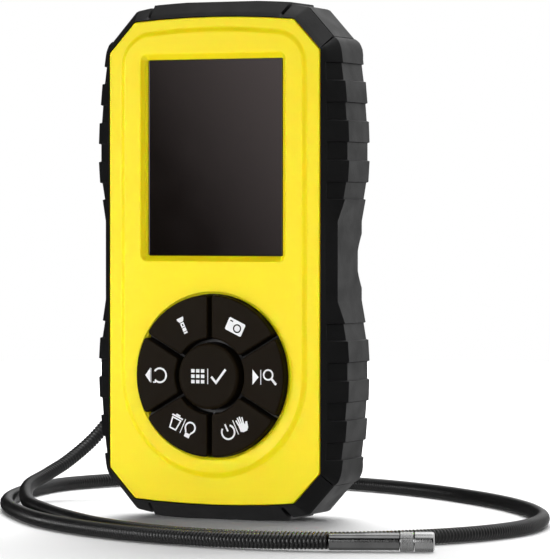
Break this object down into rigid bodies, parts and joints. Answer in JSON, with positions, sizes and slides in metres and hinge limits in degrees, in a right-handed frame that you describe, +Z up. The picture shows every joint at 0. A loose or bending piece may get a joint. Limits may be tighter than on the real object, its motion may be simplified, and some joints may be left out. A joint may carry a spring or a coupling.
{
  "type": "inspection camera",
  "caption": "Handheld inspection camera: a display and round keypad in a rubber-bumpered housing, with a ribbed gooseneck cord ending in a steel camera head.",
  "frame": {"origin": "middle of the body's footprint, on the surface it stands on, with the cord left out", "axes": "+X to the right as the display is read, +Y from the display to the back, +Z up"},
  "size_m": [0.2071, 0.2245, 0.16],
  "materials": {
    "yellow_plastic": "satin moulded",
    "rubber": "fine matt grain",
    "key_rubber": "satin silicone",
    "black_plastic": "fine texture",
    "screen_glass": "clear dark window",
    "lcd": "display, switched off",
    "board": "solder mask",
    "chip": "moulded",
    "contact": "plated",
    "dark_steel": "dark polished",
    "bright_steel": "turned and polished",
    "cell": "printed sleeve, plain",
    "nylon": "plain"
  },
  "bodies": {
    "housing": {"battery_cell_1": "cell", "battery_cell_2": "cell", "battery_cell_3": "cell", "battery_cell_4": "cell", "battery_tray": "black_plastic", "bumper": "rubber", "cable_gland": "black_plastic", "camera_lead": "rubber", "card_slot": "contact", "contact_strip_high": "contact", "contact_strip_low": "contact", "display_flex": "nylon", "front_cover": "yellow_plastic", "front_frame": "black_plastic", "gland_nut": "black_plastic", "gooseneck_cable": "rubber", "keypad_bezel": "black_plastic", "keypad_mat": "nylon", "lcd_holder": "black_plastic", "lcd_panel": "lcd", "lead_connector": "black_plastic", "main_board": "board", "memory_card": "chip", "memory_chip": "chip", "power_coil": "chip", "probe_front_ring": "bright_steel", "probe_knurled_ring": "bright_steel", "probe_lens": "screen_glass", "probe_sleeve": "dark_steel", "processor_chip": "chip", "rear_cover": "black_plastic", "rear_screw_1": "contact", "rear_screw_2": "contact", "rear_screw_3": "contact", "rear_screw_4": "contact", "rear_screw_5": "contact", "rear_screw_6": "contact", "screen_gasket": "nylon", "screen_window": "screen_glass", "snap_dome_back_rotate": "contact", "snap_dome_camera": "contact", "snap_dome_delete_light": "contact", "snap_dome_next_zoom": "contact", "snap_dome_ok": "contact", "snap_dome_power_freeze": "contact", "snap_dome_torch": "contact", "strain_relief": "rubber", "usb_socket": "contact"},
    "key_ok_body": {"key_ok": "key_rubber"},
    "key_torch_body": {"key_torch": "key_rubber"},
    "key_camera_body": {"key_camera": "key_rubber"},
    "key_next_zoom_body": {"key_next_zoom": "key_rubber"},
    "key_power_freeze_body": {"key_power_freeze": "key_rubber"},
    "key_delete_light_body": {"key_delete_light": "key_rubber"},
    "key_back_rotate_body": {"key_back_rotate": "key_rubber"},
    "battery_cover_body": {"battery_cover": "black_plastic"},
    "port_flap_body": {"port_flap": "rubber"}
  },
  "joints": [
    {"name": "key_ok_press", "type": "slide", "parent": "housing", "child": "key_ok_body", "axis": [0, 1, 0], "range_m": [0, 0.0008], "stiffness_N_per_m": 500, "springref_m": -0.0008},
    {"name": "key_torch_press", "type": "slide", "parent": "housing", "child": "key_torch_body", "axis": [0, 1, 0], "range_m": [0, 0.0008], "stiffness_N_per_m": 500, "springref_m": -0.0008},
    {"name": "key_camera_press", "type": "slide", "parent": "housing", "child": "key_camera_body", "axis": [0, 1, 0], "range_m": [0, 0.0008], "stiffness_N_per_m": 500, "springref_m": -0.0008},
    {"name": "key_next_zoom_press", "type": "slide", "parent": "housing", "child": "key_next_zoom_body", "axis": [0, 1, 0], "range_m": [0, 0.0008], "stiffness_N_per_m": 500, "springref_m": -0.0008},
    {"name": "key_power_freeze_press", "type": "slide", "parent": "housing", "child": "key_power_freeze_body", "axis": [0, 1, 0], "range_m": [0, 0.0008], "stiffness_N_per_m": 500, "springref_m": -0.0008},
    {"name": "key_delete_light_press", "type": "slide", "parent": "housing", "child": "key_delete_light_body", "axis": [0, 1, 0], "range_m": [0, 0.0008], "stiffness_N_per_m": 500, "springref_m": -0.0008},
    {"name": "key_back_rotate_press", "type": "slide", "parent": "housing", "child": "key_back_rotate_body", "axis": [0, 1, 0], "range_m": [0, 0.0008], "stiffness_N_per_m": 500, "springref_m": -0.0008},
    {"name": "battery_cover_lift", "type": "slide", "parent": "housing", "child": "battery_cover_body", "axis": [0, 1, 0], "range_m": [0, 0.03]},
    {"name": "port_flap_hinge", "type": "hinge", "parent": "housing", "child": "port_flap_body", "pos_m": [0, 0.0047, 0.16], "axis": [-1, 0, 0], "range_deg": [0, 110]}
  ]
}
